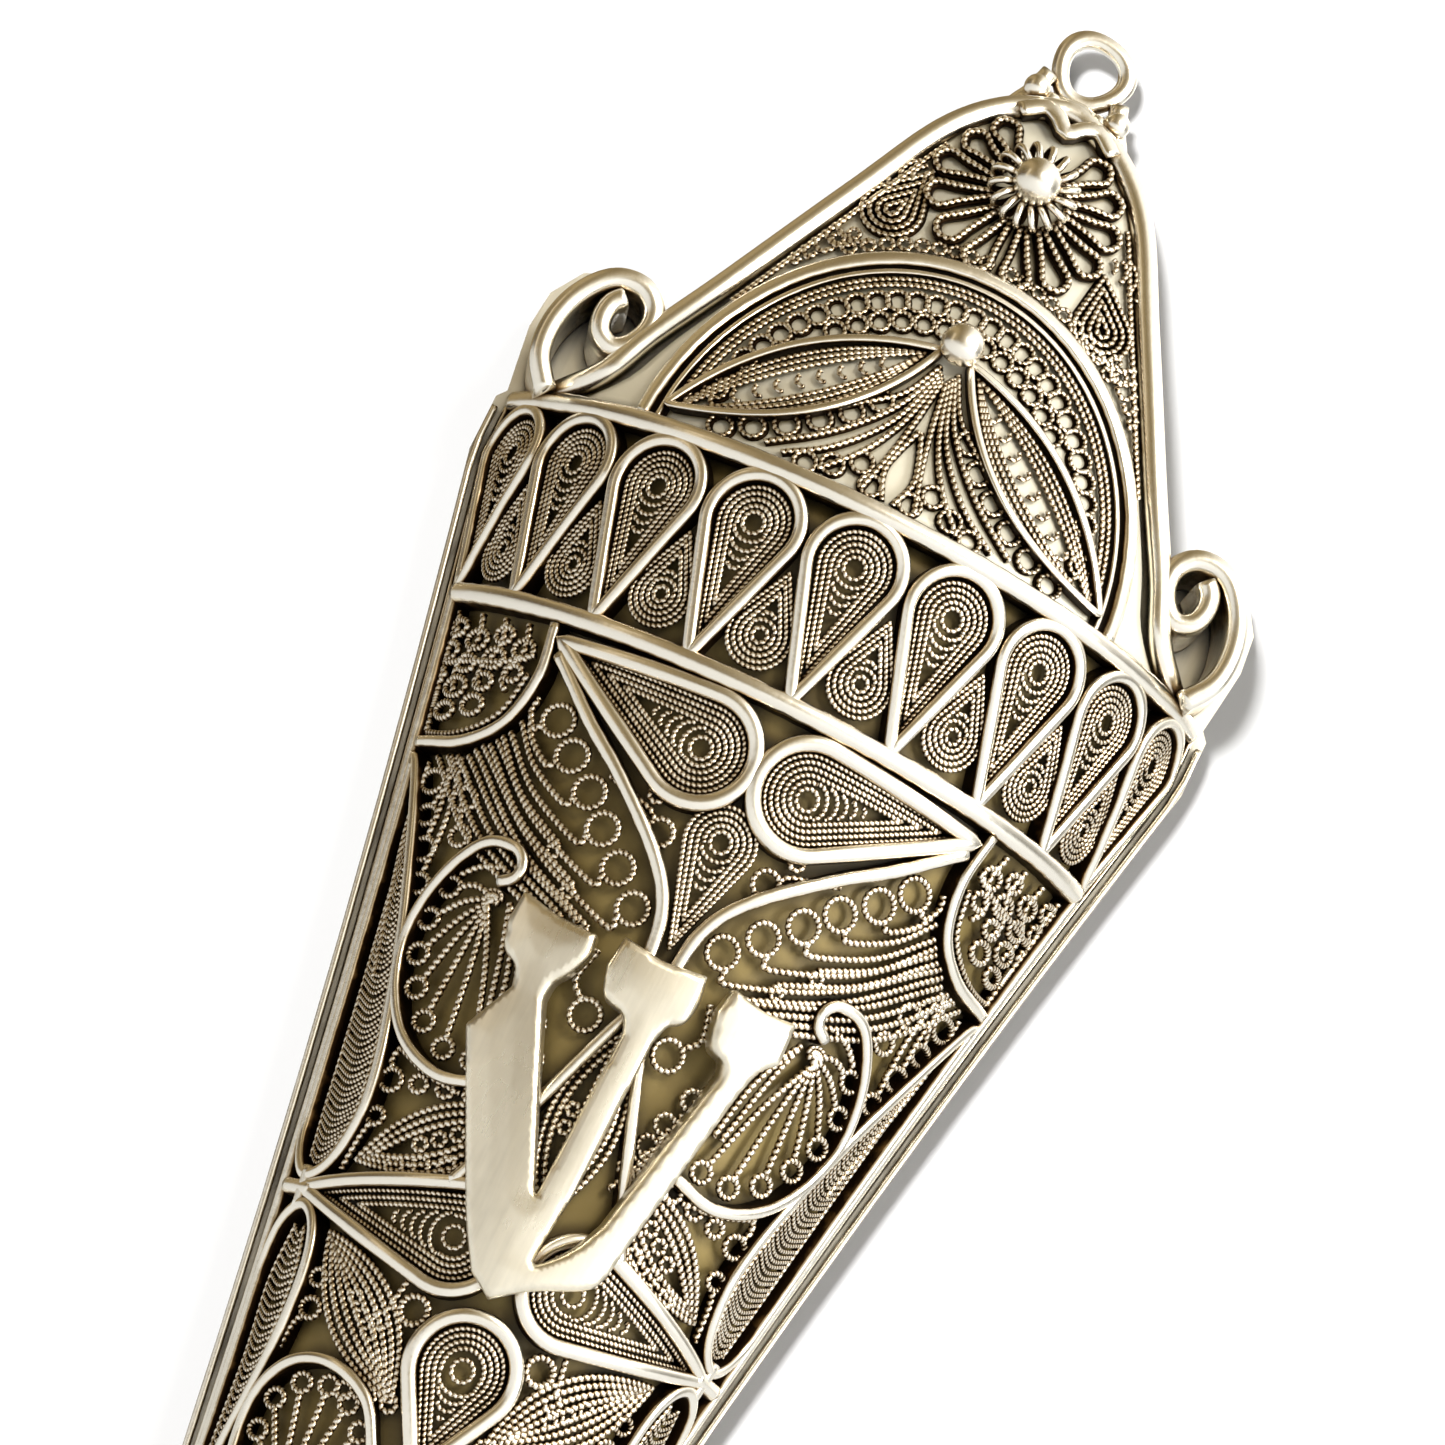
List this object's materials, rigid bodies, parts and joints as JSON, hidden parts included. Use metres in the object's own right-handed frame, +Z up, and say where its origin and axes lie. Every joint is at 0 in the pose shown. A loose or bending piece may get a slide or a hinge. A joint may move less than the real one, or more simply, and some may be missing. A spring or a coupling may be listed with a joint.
{
  "type": "mezuzah case",
  "caption": "Filigree doorpost case with a curved tapering body, hooded crown, hanging ring and a back cover that slides up to take a rolled parchment.",
  "frame": {"origin": "centre of the hanging ring, on the plane of the doorpost that the case lies against", "axes": "+Z up along the case towards the hanging ring, +Y into the doorpost, +X to the right as seen from the front"},
  "size_m": [0.0408, 0.0159, 0.1174],
  "materials": {
    "satin_silver": "satin silver, finely scratched",
    "bright_silver": "polished silver, dark in its hollows",
    "filigree_wire": "twisted silver wire, oxidised between its strands",
    "backing_sheet": "olive brown oxidised sheet",
    "crown_sheet": "dull grey beige silver sheet",
    "parchment": "matt parchment"
  },
  "bodies": {
    "case": {"back_plate": "satin_silver", "band_bottom_rail": "bright_silver", "band_drop_1": "bright_silver", "band_drop_2": "bright_silver", "band_drop_3": "bright_silver", "band_drop_4": "bright_silver", "band_drop_5": "bright_silver", "band_drop_6": "bright_silver", "band_drop_7": "bright_silver", "band_drop_8": "bright_silver", "band_drop_9": "bright_silver", "band_filigree": "filigree_wire", "band_top_rail": "bright_silver", "body_shell": "backing_sheet", "bottom_end_plate": "satin_silver", "cover_guide": "satin_silver", "crown_arch": "bright_silver", "crown_frame": "bright_silver", "crown_shell": "crown_sheet", "edge_wire": "bright_silver", "hanging_ring": "bright_silver", "left_brow_drop": "bright_silver", "left_corner_arc": "bright_silver", "left_edge_drop": "bright_silver", "left_long_curve": "bright_silver", "left_lower_curve": "bright_silver", "left_lower_edge_drop": "bright_silver", "left_lower_scroll": "bright_silver", "left_lunette_leaf": "bright_silver", "left_ring_ball": "bright_silver", "left_side_scroll": "bright_silver", "left_volute": "bright_silver", "left_waist_leaf": "bright_silver", "lower_body_filigree": "filigree_wire", "lower_center_drop": "bright_silver", "lunette_ball": "bright_silver", "lunette_filigree": "filigree_wire", "parchment_scroll": "parchment", "raised_letter": "satin_silver", "right_brow_drop": "bright_silver", "right_corner_arc": "bright_silver", "right_edge_drop": "bright_silver", "right_long_curve": "bright_silver", "right_lower_curve": "bright_silver", "right_lower_edge_drop": "bright_silver", "right_lower_scroll": "bright_silver", "right_lunette_leaf": "bright_silver", "right_ring_ball": "bright_silver", "right_side_scroll": "bright_silver", "right_volute": "bright_silver", "right_waist_leaf": "bright_silver", "rosette_ball": "bright_silver", "rosette_coil": "bright_silver", "rosette_petals": "filigree_wire", "spandrel_filigree": "filigree_wire", "tail_drop": "bright_silver", "tail_ring": "bright_silver", "top_end_plate": "satin_silver", "upper_body_filigree": "filigree_wire"},
    "cover": {"sliding_cover": "satin_silver"}
  },
  "joints": [
    {"name": "cover_slide", "type": "slide", "parent": "case", "child": "cover", "axis": [0, 0, 1], "range_m": [0, 0.064]}
  ]
}
